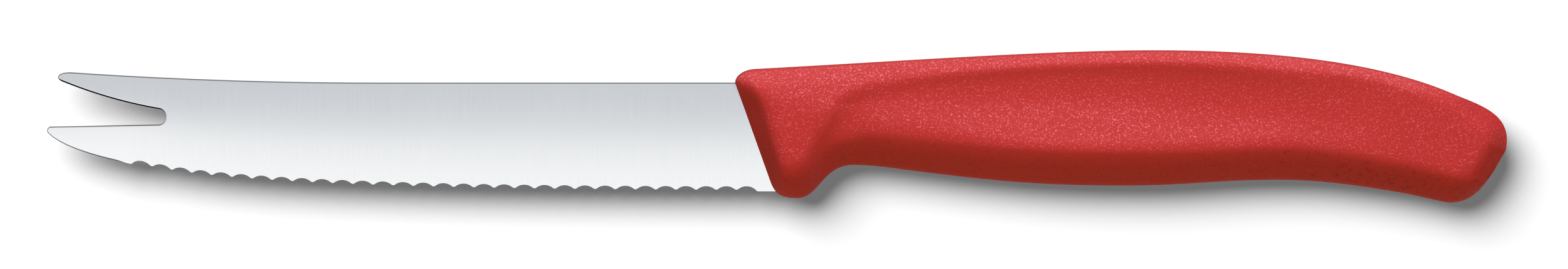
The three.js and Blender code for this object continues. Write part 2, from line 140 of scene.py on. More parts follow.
def add(tree, kind, inputs=None, **settings):
    """Adds a node. Its inputs are given by name or number, as values, sockets or nodes."""
    node = tree.nodes.new(kind)
    for name, value in settings.items():
        setattr(node, name, value)
    for name, value in (inputs or {}).items():
        if isinstance(value, bpy.types.Node):
            value = value.outputs[0]
        if isinstance(value, bpy.types.NodeSocket):
            tree.links.new(value, node.inputs[name])
        else:
            node.inputs[name].default_value = value
    return node


def bare_finish(name):
    """A material whose tree is still empty."""
    material = bpy.data.materials.new(name)
    material.use_nodes = True
    material.node_tree.nodes.clear()
    return material


def linear(hex_code):
    """An sRGB hex colour as linear red, green, blue and alpha."""
    parts = [int(hex_code[i : i + 2], 16) / 255 for i in (1, 3, 5)]
    return [p / 12.92 if p <= 0.04045 else ((p + 0.055) / 1.055) ** 2.4 for p in parts] + [1.0]


def keep_numbers(mesh, domain, numbers):
    """Keeps named numbers on a mesh, one for each of its points or faces."""
    for name, values in numbers.items():
        kept = mesh.attributes.new(name, "FLOAT", domain)
        kept.data.foreach_set("value", np.asarray(values, np.float32))


# %% [markdown]
# ## The blade's outline
# The real blank is punched from strip: a long plain edge that turns up to the tip, a fork with a round
# root, and a spine that rises a little to the shorter tine. Each stretch is a line, an arc or a curve.
# With each stretch go small numbers that the eye reads as edge lines: how far the punched wall leans out
# below the front face at its start and end, how much the front corner is rounded by tumbling, and how
# much painted shade the wall gets. The walls are painted dark to stand for their dark reflection, most of
# all on the walls that face down into the fork.

# %% Plain edge
FRONT_SLANT = 20.5
BELLY_LENGTH = 20.2
BELLY_RISE = 3
BELLY_HEADING = 9
HEEL_HOLD = 0.46  # how far the edge keeps its direction at the heel, as a share of its run
BELLY_HOLD = 0.16  # the same where that run meets the belly
TIP_HOLD = 0.4  # the same on the belly's side, as a share of the belly
NOSE_HOLD = 0.21  # the same where the belly meets the long tine's nose
NOSE_END = 225  # degrees round the nose where that is
LONG_TINE_TOP = 1.62
LONG_TINE_NOSE = 0.62
TIP_MARGIN = 0.001  # keeps the tip inside the knife's length


def front_at(y):
    """X of the slanted front of the blade's seat at a height."""
    return -y * math.tan(math.radians(FRONT_SLANT))


heel = np.array((front_at(EDGE), EDGE))
belly = np.array((TIP + BELLY_LENGTH, EDGE + BELLY_RISE))
belly_run = heel[0] - belly[0]
nose_centre = np.array((TIP + TIP_MARGIN + LONG_TINE_NOSE, LONG_TINE_TOP - LONG_TINE_NOSE))
nose_start = nose_centre + heading(NOSE_END, LONG_TINE_NOSE)

long_edge = bezier(
    heel,
    heel - (HEEL_HOLD * belly_run, 0),
    belly + heading(-BELLY_HEADING, BELLY_HOLD * belly_run),
    belly,
    count=400,
)
tip_edge = bezier(
    belly,
    belly - heading(-BELLY_HEADING, TIP_HOLD * BELLY_LENGTH),
    nose_start + heading(NOSE_END - 270, NOSE_HOLD * BELLY_LENGTH),
    nose_start,
    count=200,
)
plain_edge = np.concatenate((long_edge, tip_edge[1:]))
print("plain edge:", round(travel(plain_edge)[-1], 2), "mm")

# %% Fork, spine and tang
FORK_DEPTH = 18.5
ROOT_RADIUS = 1.19
ROOT_HEIGHT = 3.12
ROOT_END = 80  # degrees round the root where the short tine starts
SHORT_TINE_SETBACK = 1.7
SHORT_TINE_BULGE = 0.45
SHORT_NOSE_LENGTH = 2
SHORT_NOSE_HEIGHT = 1.45
FOOT_SETBACK = 0.3  # of the short nose's underside, as a share of its length
CHIN_RISE = 0.2  # shares of its height that steer the nose above the foot and below the top
BROW_DROP = 0.55
SPINE_SWEEP = 51.1
SEAT_DEPTH = 2.5
TANG_LENGTH = 62
TANG_STEP = 1.2
TANG_HEIGHT = 8.5

root = np.array((TIP + FORK_DEPTH - ROOT_RADIUS, ROOT_HEIGHT))
root_low = arc(root, ROOT_RADIUS, -90, 0)
root_high = arc(root, ROOT_RADIUS, 0, ROOT_END)
tine_top = SPINE + SPINE_RISE
short_tip = TIP + SHORT_TINE_SETBACK
foot = np.array((short_tip + FOOT_SETBACK * SHORT_NOSE_LENGTH, tine_top - SHORT_NOSE_HEIGHT))
brow = np.array((short_tip, tine_top - BROW_DROP * SHORT_NOSE_HEIGHT))
sweep_end = np.array((short_tip + SHORT_NOSE_LENGTH, tine_top))
sweep_start = np.array((TIP + SPINE_SWEEP, SPINE))
under_bend = (root_high[-1] + foot) / 2 - (0, 2 * SHORT_TINE_BULGE)

tang_top = SPINE - TANG_STEP
tang_low = tang_top - TANG_HEIGHT
tang_middle = tang_top - TANG_HEIGHT / 2
tang_end = arc((TANG_LENGTH - TANG_HEIGHT / 2, tang_middle), TANG_HEIGHT / 2, 90, -90)
seat = [
    (front_at(SPINE) + SEAT_DEPTH, SPINE),
    (front_at(tang_top) + SEAT_DEPTH, tang_top),
    *tang_end,
    (front_at(tang_low) + SEAT_DEPTH, tang_low),
    (front_at(EDGE + SEAT_DEPTH) + SEAT_DEPTH, EDGE + SEAT_DEPTH),
    heel,
]
long_nose = arc(nose_centre, LONG_TINE_NOSE, NOSE_END, 90)
long_tine = np.array((nose_centre + (0, LONG_TINE_NOSE), root_low[0]))
short_tine = bezier(root_high[-1], under_bend, foot)
short_nose = bezier(foot, (short_tip, foot[1] + CHIN_RISE * SHORT_NOSE_HEIGHT), brow)
short_brow = bezier(brow, (short_tip, tine_top), sweep_end)
sweep = bezier(sweep_end, ((sweep_start[0] + sweep_end[0]) / 2, SPINE), sweep_start)
print("fork root at", root.round(2), "and tang end at", TANG_LENGTH, "mm")

# %% Outline with its walls
TINE_PLAIN = 13.4  # mm of plain edge before the tip; the toothed stretch has an upright wall
LEAN_RUN = 2  # mm in which the plain edge's wall takes its lean
OFF_EDGE = -1000.0  # place along the edge of points that are not on it
WALL_SHADE_BLEND = 0.8  # mm to each side in which the painted wall shade passes from one stretch to the next

# Each stretch: its line, the spacing of its points, the wall's lean at start and end, the corner's
# rounding, all in mm, and the share of painted shade on its wall.
STRETCHES = {
    "edge": (plain_edge, 0.11, 0.0, 0.17, 0.0, 0.7),
    "long nose": (long_nose, 0.06, 0.17, 0.16, 0.04, 0.7),
    "long tine": (long_tine, 0.4, 0.16, 0.16, 0.04, 0.5),
    "root, low half": (root_low, 0.08, 0.16, 0.08, 0.03, 0.6),
    "root, high half": (root_high, 0.08, 0.08, 0.22, 0.03, 0.8),
    "short tine": (short_tine, 0.2, 0.22, 0.28, 0.03, 0.92),
    "short nose": (short_nose, 0.08, 0.28, 0.2, 0.03, 0.88),
    "short brow": (short_brow, 0.08, 0.2, 0.2, 0.03, 0.55),
    "sweep": (sweep, 0.6, 0.2, 0.2, 0.03, 0.55),
    "spine": (np.array((sweep_start, seat[0])), 0.6, 0.2, 0.2, 0.03, 0.55),
    "seat and tang": (np.array(seat), 0.9, 0.0, 0.0, 0.0, 0.0),
}

outline, lean, rounding, edge_run, wall_shade = [], [], [], [], []
for name, (line, step, lean_start, lean_end, corner, wall_shade_share) in STRETCHES.items():
    points = evenly(line, step)[:-1]
    share = np.linspace(0, 1, len(points))
    if name == "edge":
        teeth_end = travel(line)[-1] - TINE_PLAIN
        share = smoothstep(travel(points), teeth_end, teeth_end + LEAN_RUN)
    outline.extend(points)
    lean.extend(lean_start + (lean_end - lean_start) * share)
    rounding.extend([corner] * len(points))
    edge_run.extend(travel(points) if name == "edge" else [OFF_EDGE] * len(points))
    wall_shade.extend([wall_shade_share] * len(points))
outline, lean, rounding, edge_run, wall_shade = (
    np.array(values) for values in (outline, lean, rounding, edge_run, wall_shade)
)

# The painted wall shade is blended along the outline, so that it passes softly from stretch to stretch.
so_far = travel(outline)
summed = np.concatenate(([0], np.cumsum(wall_shade[:-1] * np.diff(so_far))))
window_start = np.clip(so_far - WALL_SHADE_BLEND, 0, None)
window_end = np.clip(so_far + WALL_SHADE_BLEND, None, so_far[-1])
window_sum = np.interp(window_end, so_far, summed) - np.interp(window_start, so_far, summed)
wall_shade = window_sum / (window_end - window_start)
print("outline points:", len(outline))

# %% [markdown]
# ## The blank as a flat sheet
# A punched blank could be one n-gon with a thickness, but then its faces could not be ground: they need
# points inside. So rows of points follow the outline inwards, closely under the cutting edge where the
# teeth come, a loose grid fills the rest, and a Delaunay triangulation ties them together. The sheet gets
# a front and a back with the same triangles, and a wall between them. Each point keeps a few numbers for
# the grinding: its place along the edge, its height above it and how far its corner is rounded.

# %% Rows and grid
EDGE_ROWS = (0.05, 0.12, 0.22, 0.35, 0.5, 0.7, 0.95, 1.25, 1.58, 2.0, 2.5, 3.1, 3.9)
CLOSE_ROWS = 5  # under the edge, that keep all their points; the others keep every second one
RIM_ROWS = (0.015, 0.05, 0.1, 0.3, 0.6)
CROWDED = 0.9  # share of its distance at which a row comes too near another part of the outline
GRID_STEP = 1.3
HOLD_FULL = 1.7  # mm above the edge up to which points move with the teeth
HOLD_NONE = 4.0  # and from which they stay
GRID_GAP = 0.3  # between the highest edge row's reach and the grid
RIM_GAP = 0.8  # between the outline and the grid

count = len(outline)
ahead = np.roll(outline, -1, axis=0) - outline
behind = outline - np.roll(outline, 1, axis=0)
tangent = ahead / np.linalg.norm(ahead, axis=1)[:, None] + behind / np.linalg.norm(behind, axis=1)[:, None]
tangent /= np.linalg.norm(tangent, axis=1)[:, None]
inward = np.column_stack((tangent[:, 1], -tangent[:, 0]))
on_edge = edge_run > OFF_EDGE

nearest = kdtree.KDTree(count)
for i, point in enumerate(outline):
    nearest.insert((*point, 0), i)
nearest.balance()

places = list(outline)
owner = list(range(count))
depth = [0.0] * count
for i in range(count):
    for k, distance in enumerate(EDGE_ROWS if on_edge[i] else RIM_ROWS):
        if on_edge[i] and k >= CLOSE_ROWS and i % 2:
            continue
        place = outline[i] + inward[i] * distance
        if nearest.find((*place, 0))[2] < CROWDED * distance:
            break
        places.append(place)
        owner.append(i)
        depth.append(distance)


def is_inside(place):
    """Even-odd test against the outline."""
    after = np.roll(outline, -1, axis=0)
    crosses = (outline[:, 1] > place[1]) != (after[:, 1] > place[1])
    rise = np.where(crosses, after[:, 1] - outline[:, 1], 1)
    at = outline[:, 0] + (place[1] - outline[:, 1]) / rise * (after[:, 0] - outline[:, 0])
    return np.count_nonzero(crosses & (at > place[0])) % 2 == 1


for x in np.arange(TIP, TANG_LENGTH, GRID_STEP):
    for y in np.arange(EDGE, tine_top, GRID_STEP):
        _, i, distance = nearest.find((x, y, 0))
        clear = HOLD_NONE + GRID_GAP if on_edge[i] else RIM_GAP
        if distance > clear and is_inside((x, y)):
            places.append(np.array((x, y)))
            owner.append(i)
            depth.append(distance)
print("points on one side:", len(places))

# %% Triangles round the tang's holes
HOLE_RADIUS = 2
HOLE_PLACES = (22, 48)
HOLE_CORNERS = 32
HOLE_GAP = 0.2  # between a hole and the points round it
LEAN_REACH = 1.0  # mm inside the outline up to which the front face follows the wall's lean
INSIDE = 1  # keeps the triangles inside the outline
WELD = 1e-6

holes = [
    arc((x, tang_middle), HOLE_RADIUS, 0, 360, HOLE_CORNERS + 1)[:-1] for x in HOLE_PLACES
]
hole_middles = [hole.mean(axis=0) for hole in holes]


def hole_distance(place):
    """Distance to the middle of the nearest hole."""
    return min(np.linalg.norm(place - middle) for middle in hole_middles)


clear_of_holes = [hole_distance(place) > HOLE_RADIUS + HOLE_GAP for place in places]
places, owner, depth = (
    [value for value, keep in zip(values, clear_of_holes) if keep] for values in (places, owner, depth)
)
loops = [list(range(count))]
for hole in holes:
    loops.append(list(range(len(places), len(places) + len(hole))))
    places.extend(hole)
    owner.extend([count - 1] * len(hole))
    depth.extend([LEAN_REACH] * len(hole))

rim = [(a, b) for loop in loops for a, b in zip(loop, loop[1:] + loop[:1])]
flat_points, _, triangles, sources, _, _ = geometry.delaunay_2d_cdt(
    [Vector(place) for place in places], rim, [], INSIDE, WELD
)
source = np.array([ids[0] for ids in sources])
flat = np.array(flat_points)
triangles = [
    triangle for triangle in triangles if hole_distance(flat[list(triangle)].mean(axis=0)) >= HOLE_RADIUS
]
print("triangles on one side:", len(triangles))

# %% Both sides and the wall
GRIND_TOP = EDGE + 4.5  # the grinding follows the belly up to here, not on to the tip
FAR_ABOVE = 100.0  # height over the edge of points that no tooth reaches
LEAST_RADIUS = 1e-6

place_of = {int(s): i for i, s in enumerate(source)}
owner = np.array(owner)[source]
depth = np.array(depth)[source]
total = len(flat)
shift = lean[owner] * np.clip(1 - depth / LEAN_REACH, 0, 1)
front = flat + inward[owner] * shift[:, None]
corners = np.vstack((np.column_stack((front, np.ones(total))), np.column_stack((flat, -np.ones(total)))))
faces = []
wall_shade_share = []
for a, b, c in triangles:
    faces.append((a, b, c))
    faces.append((c + total, b + total, a + total))
    wall_shade_share += [0.0, 0.0]
# Each wall face keeps its stretch's share of painted shade.
for a, b in rim:
    a, b = place_of[a], place_of[b]
    faces.append((a, b, b + total, a + total))
    wall_shade_share.append(wall_shade[owner[a]])

radius = np.maximum(rounding[owner], LEAST_RADIUS)
inset = np.clip(depth, 0, radius)
edge_x, edge_y = plain_edge[::-1].T
numbers = {
    "run": edge_run[owner],
    "above": np.where(on_edge[owner], depth, FAR_ABOVE),
    "hold": np.where(on_edge[owner], 1 - smoothstep(depth, HOLD_FULL, HOLD_NONE), 0),
    "rolled": np.where(rounding[owner] > 0, radius - np.sqrt(radius**2 - (radius - inset) ** 2), 0),
    "edge_height": np.interp(flat[:, 0], edge_x, np.minimum(edge_y, GRIND_TOP)),
}

blank = bpy.data.meshes.new("punched_blank")
blank.from_pydata(corners.tolist(), [], faces)
keep_numbers(blank, "POINT", {name: np.tile(values, 2) for name, values in numbers.items()})
keep_numbers(blank, "FACE", {"painted_wall_shade": wall_shade_share})
print("blank:", len(blank.vertices), "points,", len(blank.polygons), "faces")

# %% [markdown]
# ## Grinding: the wavy edge and the faces
# On the real knife a round wheel, tipped to the right side, grinds one gullet after another along the
# edge, and the faces are ground slightly round from the spine to the edge. Both follow a rule and the
# gullets repeat, so this is a Geometry Nodes tree: it moves the points of the blank, and every size is an
# input with a name. Cutting with a row of wheel-shaped solids would give the same teeth, but it would
# leave long thin triangles that shade badly.

# %% Sizes of the grind
TOOTH_PITCH = 3.135
GULLET_DEPTH = 0.79
TOOTH_RECESS = 0.25
TOOTH_RADIUS = 0.45
HEEL_PLAIN = 2.9  # mm of plain edge at the heel
GRIND_ANGLE = 15  # degrees by which the wheel is tipped
PAST_WHEEL = -2.0  # slope of the line that goes on past the wheel

point_drop = TOOTH_RECESS + TOOTH_RADIUS - GULLET_DEPTH
chord = (TOOTH_PITCH / 2) ** 2 + point_drop**2 - TOOTH_RADIUS**2
gullet_radius = chord / (2 * (GULLET_DEPTH - TOOTH_RECESS))
runout = math.sqrt(gullet_radius**2 - (gullet_radius - GULLET_DEPTH) ** 2)
room = travel(plain_edge)[-1] - HEEL_PLAIN - TINE_PLAIN - 2 * runout
whole_pitches = math.floor(room / TOOTH_PITCH)
GRIND_SIZES = {
    "Tooth pitch": TOOTH_PITCH,
    "Gullet depth": GULLET_DEPTH,
    "Tooth recess": TOOTH_RECESS,
    "Tooth radius": TOOTH_RADIUS,
    "First gullet": HEEL_PLAIN + runout,
    "Last gullet": HEEL_PLAIN + runout + whole_pitches * TOOTH_PITCH,
    "Spine height": SPINE,
    "Spine thickness": 1.2,
    "Edge thickness": 0.5,
    "Grind bend": 2.0,
    "Grind slope": math.tan(math.radians(GRIND_ANGLE)),
    "Edge land": 0.1,
}
print("gullets:", whole_pitches + 1)

# %% Grinding tree: its inputs
grind = bpy.data.node_groups.new("grind_blade", "GeometryNodeTree")
grind.interface.new_socket("Geometry", in_out="INPUT", socket_type="NodeSocketGeometry")
grind.interface.new_socket("Geometry", in_out="OUTPUT", socket_type="NodeSocketGeometry")
identifiers = {}
for name, value in GRIND_SIZES.items():
    socket = grind.interface.new_socket(name, in_out="INPUT", socket_type="NodeSocketFloat")
    socket.default_value = value
    identifiers[name] = socket.identifier
steel_socket = grind.interface.new_socket("Steel", in_out="INPUT", socket_type="NodeSocketMaterial")

size = grind.nodes.new("NodeGroupInput").outputs
place = add(grind, "ShaderNodeSeparateXYZ", {0: add(grind, "GeometryNodeInputPosition")}).outputs
known = {name: size[name] for name in GRIND_SIZES}
known.update({name: place[name] for name in "XYZ"})
for name in numbers:
    known[name] = add(grind, "GeometryNodeInputNamedAttribute", {"Name": name}, data_type="FLOAT")
print("known to the tree:", ", ".join(known))

# %% Grinding tree: the wave of gullets and points
# Each step: the name of its result, the sum, and what goes into it.
WAVE_STEPS = (
    # The gullet's radius follows from the pitch, because gullets and rounded points touch.
    ("half", "MULTIPLY", "Tooth pitch", 0.5),
    ("centre", "ADD", "Tooth recess", "Tooth radius"),
    ("drop", "SUBTRACT", "centre", "Gullet depth"),
    ("half square", "MULTIPLY", "half", "half"),
    ("squares", "MULTIPLY_ADD", "drop", "drop", "half square"),
    ("tooth square", "MULTIPLY", "Tooth radius", "Tooth radius"),
    ("over", "SUBTRACT", "squares", "tooth square"),
    ("under", "SUBTRACT", "Tooth radius", "drop"),
    ("diameter", "DIVIDE", "over", "under"),
    ("wheel", "MULTIPLY", "diameter", 0.5),
    ("wheel and tooth", "ADD", "wheel", "Tooth radius"),
    ("wheel's part", "DIVIDE", "wheel", "wheel and tooth"),
    ("reach", "MULTIPLY", "wheel's part", "half"),
    # Distance to the middle of the nearest gullet.
    ("start", "SUBTRACT", "run", "First gullet"),
    ("pitches", "DIVIDE", "start", "Tooth pitch"),
    ("number", "ROUND", "pitches"),
    ("middle", "MULTIPLY_ADD", "number", "Tooth pitch", "First gullet"),
    ("middle", "MAXIMUM", "middle", "First gullet"),
    ("middle", "MINIMUM", "middle", "Last gullet"),
    ("off", "SUBTRACT", "run", "middle"),
    ("off", "ABSOLUTE", "off"),
    # The wheel's round line, how far it rises into the plain edge, and the line past the wheel.
    ("off square", "MULTIPLY", "off", "off"),
    ("wheel square", "MULTIPLY", "wheel", "wheel"),
    ("square left", "SUBTRACT", "wheel square", "off square"),
    ("square left", "MAXIMUM", "square left", 0.0),
    ("rise", "SQRT", "square left"),
    ("sunk", "SUBTRACT", "Gullet depth", "wheel"),
    ("past", "SUBTRACT", "off", "wheel"),
    ("past", "MAXIMUM", "past", 0.0),
    ("wheel line", "ADD", "sunk", "rise"),
    ("wheel line", "MULTIPLY_ADD", "past", PAST_WHEEL, "wheel line"),
    ("gullet", "MAXIMUM", "wheel line", 0.0),
    # The rounded point between two gullets.
    ("to point", "SUBTRACT", "half", "off"),
    ("point square", "MULTIPLY", "to point", "to point"),
    ("point left", "SUBTRACT", "tooth square", "point square"),
    ("point left", "MAXIMUM", "point left", 0.0),
    ("point rise", "SQRT", "point left"),
    ("tooth", "SUBTRACT", "centre", "point rise"),
    ("is point", "GREATER_THAN", "off", "reach"),
    ("after first", "GREATER_THAN", "run", "First gullet"),
    ("before last", "LESS_THAN", "run", "Last gullet"),
    ("in row", "MULTIPLY", "after first", "before last"),
    ("is point", "MULTIPLY", "is point", "in row"),
)
for name, operation, *values in WAVE_STEPS:
    inputs = {i: known.get(value, value) for i, value in enumerate(values)}
    known[name] = add(grind, MATH, inputs, operation=operation)
for name, between_points in (("wave", "gullet"), ("wheel wave", "wheel line")):
    inputs = {"Factor": known["is point"], "A": known[between_points], "B": known["tooth"]}
    known[name] = add(grind, MIX, inputs, data_type="FLOAT")
print("nodes for the wave:", len(grind.nodes))

# %% Grinding tree: the faces and the slopes behind the teeth
FACE_STEPS = (
    # Points near the edge move up with the wave. Those further up move less.
    ("new y", "MULTIPLY_ADD", "wave", "hold", "Y"),
    # The face falls from the spine to the edge along a slightly round line.
    ("drop y", "SUBTRACT", "Spine height", "new y"),
    ("face height", "SUBTRACT", "Spine height", "edge_height"),
    ("down", "DIVIDE", "drop y", "face height"),
    ("down", "MAXIMUM", "down", 0.0),
    ("down", "MINIMUM", "down", 1.0),
    ("bent", "POWER", "down", "Grind bend"),
    ("loss", "SUBTRACT", "Spine thickness", "Edge thickness"),
    ("lost", "MULTIPLY", "loss", "bent"),
    ("thickness", "SUBTRACT", "Spine thickness", "lost"),
    ("half thick", "MULTIPLY", "thickness", 0.5),
    ("half thick", "SUBTRACT", "half thick", "rolled"),
    # Behind a narrow land the tipped wheel leaves a slope that climbs to the right face.
    ("edge half", "MULTIPLY", "Edge thickness", 0.5),
    ("land", "SUBTRACT", "edge half", "Edge land"),
    ("moved", "MULTIPLY_ADD", "wave", "hold", "above"),
    ("over wheel", "SUBTRACT", "moved", "wheel wave"),
    ("slope", "MULTIPLY", "over wheel", "Grind slope"),
    ("hollow", "SUBTRACT", "land", "slope"),
    ("right face", "MULTIPLY", "half thick", -1.0),
    ("right z", "MAXIMUM", "right face", "hollow"),
    ("is left", "GREATER_THAN", "Z", 0.0),
    ("is hollow", "GREATER_THAN", "hollow", "right face"),
)
for name, operation, *values in FACE_STEPS:
    inputs = {i: known.get(value, value) for i, value in enumerate(values)}
    known[name] = add(grind, MATH, inputs, operation=operation)
sides = {"Factor": known["is left"], "A": known["right z"], "B": known["half thick"]}
new_z = add(grind, MIX, sides, data_type="FLOAT")
ground = add(grind, "ShaderNodeCombineXYZ", {0: known["X"], 1: known["new y"], 2: new_z})
marked = add(
    grind,
    "GeometryNodeStoreNamedAttribute",
    {"Geometry": size["Geometry"], "Name": "hollow_ground", "Value": known["is hollow"]},
    data_type="FLOAT",
    domain="POINT",
)
shaped = add(grind, "GeometryNodeSetPosition", {"Geometry": marked, "Position": ground})
realized = add(grind, "GeometryNodeRealizeInstances", {"Geometry": shaped})
finished = add(grind, "GeometryNodeSetMaterial", {"Geometry": realized, "Material": size["Steel"]})
add(grind, "NodeGroupOutput", {0: finished})
print("grinding tree:", len(grind.nodes), "nodes")

# %% [markdown]
# ## Finish of the blade: satin-ground stainless steel
# Stainless steel that was ground and lightly polished across the blade: nearly a mirror from far, with
# very fine lines from spine to edge close up. A plain metal would look like plastic foil, so the lines
# change the roughness and, a little, the bump. The hollows behind the teeth come straight from the wheel:
# their lines are coarser. The punched walls are painted dark, rough and with little gleam: painted shade
# for their dark reflection. Steel is metallic 1 with the default IOR, and its colour is its reflectance.

# %% Steel
STEEL_LIGHT = "#C5C9CE"
STEEL_DARK = "#C3C7CC"
LINE_LENGTH = 7  # mm
FACE_LINES = (0.12, 3.0, 0.6)  # width in mm, detail, roughness; real ones of 0.02 mm would not show
HOLLOW_LINES = (0.25, 2.0, 0.5)
CLOUD_WIDTH = 14  # mm, faint patches left by the polishing mop
CLOUD_ROUGHNESS = 0.02  # that they add
LEAST_ROUGH = 0.11  # of the lines
MOST_ROUGH = 0.15
LINE_RELIEF = 0.04  # share of the bump's depth that shows
LINE_DEPTH = 0.1  # mm
WALL_SHADE_COLOUR = "#1E1F21"  # painted shade on the punched walls
WALL_SHADE_ROUGHNESS = 0.45
WALL_SHADE_RIM = 0.15  # of the gleam that bare steel has at a glancing angle
NOISE_LOW = 0.3  # most of a noise lies between these two
NOISE_HIGH = 0.7

steel = bare_finish("satin_ground_stainless_steel")
tree = steel.node_tree
spot = add(tree, "ShaderNodeTexCoord").outputs["Object"]
line_noises = []
for width, detail, roughness in (FACE_LINES, HOLLOW_LINES):
    line_scale = (1 / (MM * width), 1 / (MM * LINE_LENGTH), 1 / (MM * LINE_LENGTH))
    line_spot = add(tree, "ShaderNodeMapping", {"Vector": spot, "Scale": line_scale})
    texture = {"Vector": line_spot, "Scale": 1.0, "Detail": detail, "Roughness": roughness}
    line_noises.append(add(tree, NOISE, texture))
face_lines, hollow_lines = line_noises
clouds = add(tree, NOISE, {"Vector": spot, "Scale": 1 / (MM * CLOUD_WIDTH), "Detail": 2.0})
in_hollow, shaded_wall = (
    add(tree, "ShaderNodeAttribute", attribute_name=name, attribute_type="GEOMETRY").outputs["Fac"]
    for name in ("hollow_ground", "painted_wall_shade")
)
marks = add(tree, MIX, {"Factor": in_hollow, "A": face_lines, "B": hollow_lines}, data_type="FLOAT")
rough = add(tree, RANGE, {0: marks, 1: NOISE_LOW, 2: NOISE_HIGH, 3: LEAST_ROUGH, 4: MOST_ROUGH})
rough = add(tree, MATH, {0: clouds, 1: CLOUD_ROUGHNESS, 2: rough}, operation="MULTIPLY_ADD")
# Painted shade on the punched walls: a dark colour, more roughness and less gleam.
rough = add(tree, MIX, {"Factor": shaded_wall, "A": rough, "B": WALL_SHADE_ROUGHNESS}, data_type="FLOAT")
tone = linear(STEEL_DARK)
for share, colour in ((clouds, STEEL_LIGHT), (shaded_wall, WALL_SHADE_COLOUR)):
    tones = {"Factor": share, COLOUR_A: tone, COLOUR_B: linear(colour)}
    tone = add(tree, MIX, tones, data_type="RGBA").outputs[COLOUR_MIXED]
rim_tint = add(tree, RANGE, {0: shaded_wall, 3: 1.0, 4: WALL_SHADE_RIM})
relief = add(
    tree, "ShaderNodeBump", {"Height": marks, "Strength": LINE_RELIEF, "Distance": MM * LINE_DEPTH}
)
metal = add(
    tree,
    "ShaderNodeBsdfPrincipled",
    {"Base Color": tone, "Metallic": 1.0, "Roughness": rough, "Specular Tint": rim_tint, "Normal": relief},
)
add(tree, "ShaderNodeOutputMaterial", {"Surface": metal})
print("steel nodes:", len(tree.nodes))

# %% [markdown]
# ## The finished blade
# The tree runs as a modifier on the blank. Its result is kept as a plain mesh, moved to the frame, and
# shaded smooth except across real corners, so that the ground faces mirror cleanly up to their edges.

# %% Grind the blank
CORNER_ANGLE = math.radians(28)


def put_in_place(mesh, name):
    """Takes a mesh from the knife's axes to the frame and makes a smooth-shaded piece of it."""
    mesh.transform(to_frame)
    mesh.shade_smooth()
    mesh.set_sharp_from_angle(angle=CORNER_ANGLE)
    mesh.name = name
    piece = bpy.data.objects.new(name, mesh)
    bpy.context.scene.collection.objects.link(piece)
    return piece


blank_object = bpy.data.objects.new("blank", blank)
bpy.context.scene.collection.objects.link(blank_object)
modifier = blank_object.modifiers.new("grind", "NODES")
modifier.node_group = grind
for name, identifier in identifiers.items():
    modifier[identifier] = float(GRIND_SIZES[name])
modifier[steel_socket.identifier] = steel
ready = bpy.context.evaluated_depsgraph_get()
blade_mesh = bpy.data.meshes.new_from_object(blank_object.evaluated_get(ready))
bpy.data.objects.remove(blank_object)
blade = put_in_place(blade_mesh, "ground_blade")
print("blade:", len(blade_mesh.polygons), "faces")

# %% [markdown]
# ## The handle's two rails
# Seen from the side the handle lies between two smooth lines: its back, and its underside with the guard,
# the finger notch, the swell and the drop-shaped butt. Each line passes through a few named places with a
# given heading. Bezier curves between them give the moulded flow that straight lines and fillets lack.
# The moulded front slants a little less than the blade's seat, which it covers.

# %% Rails
NOSE_TOP = SPINE - 0.1
NOSE_LOW = EDGE + 1.15
HANDLE_SLANT = 19.6


def handle_front(y):
    """X of the moulded front at a height."""
    return front_at(NOSE_TOP) + (NOSE_TOP - y) * math.tan(math.radians(HANDLE_SLANT))


# Each place: X, Y, heading in degrees, and how strongly that heading holds before and after it.
BACK = {
    "front": (handle_front(NOSE_TOP), NOSE_TOP, 90 + HANDLE_SLANT, 0, 0.16),
    "nose": (handle_front(NOSE_TOP) + 3.13, SPINE + 2.12, 3, 0.66, 0.33),
    "crest": (61.8, 13.465, 0, 0.27, 0.43),
    "hip": (108.1, 6.73, -23.3, 0.25, 0.38),
    "butt": (116.3, -2.1, -103, 0.49, 0),
}
UNDERSIDE = {
    "front": (handle_front(NOSE_LOW), NOSE_LOW, HANDLE_SLANT - 90, 0, 0.4),
    "guard": (6.4, EDGE - 1.07, 0, 0.45, 0.35),
    "finger notch": (15.3, -4.35, 0, 0.49, 0.3),
    "grip": (25, -5.32, -7.2, 0.4, 0.4),
    "swell": (57.5, -7.56, 0, 0.4, 0.4),
    "waist": (81, -6.66, 0, 0.4, 0.35),
    "ramp": (100, -8.62, -9.5, 0.35, 0.38),
    "pommel": (107.9, -10.19, 0, 0.15, 0.37),
    "butt": (114.3, -5.6, 60, 0.41, 0),
}


def rail(places):
    """A smooth line through the places."""
    knots = list(places.values())
    stretches = []
    for (x, y, turn, _, after), (next_x, next_y, next_turn, before, _) in zip(knots, knots[1:]):
        start = np.array((x, y))
        end = np.array((next_x, next_y))
        reach = np.linalg.norm(end - start)
        leave = start + heading(turn, after * reach)
        arrive = end - heading(next_turn, before * reach)
        stretch = bezier(start, leave, arrive, end, count=300)
        stretches.append(stretch[1:] if stretches else stretch)
    return np.concatenate(stretches)


back_rail = rail(BACK)
low_rail = rail(UNDERSIDE)
back_length = travel(back_rail)[-1]
low_length = travel(low_rail)[-1]
print("rails:", round(back_length, 1), "and", round(low_length, 1), "mm")

# %% [markdown]
# ## The handle's skin
# Without its hollows the handle is a barrel: rings join the two rails at equal shares of their length, and
# each ring is a closed smooth line, full at the sides, tighter at the back and with a slanted face under
# the sides. A thumb hollow is then cut into each side by a second surface: a dish that climbs from under
# the back to a ridge above the underside. Its front wall follows a line that leans behind the guard and
# bends back under the handle's back, like a J on its side. Where barrel and dish meet, a soft minimum
# rounds the crease, as a mould maker's ball cutter does. The front and the butt are bevelled in the same
# way, by the lesser of two thicknesses. Sculpting could give this too, but a rule keeps both sides alike.

# %% Barrel
END_REACH = 8  # mm at each end where the rings lie closer
END_RINGS = 48
GRIP_RINGS = 290
CORNER_STEPS = 8

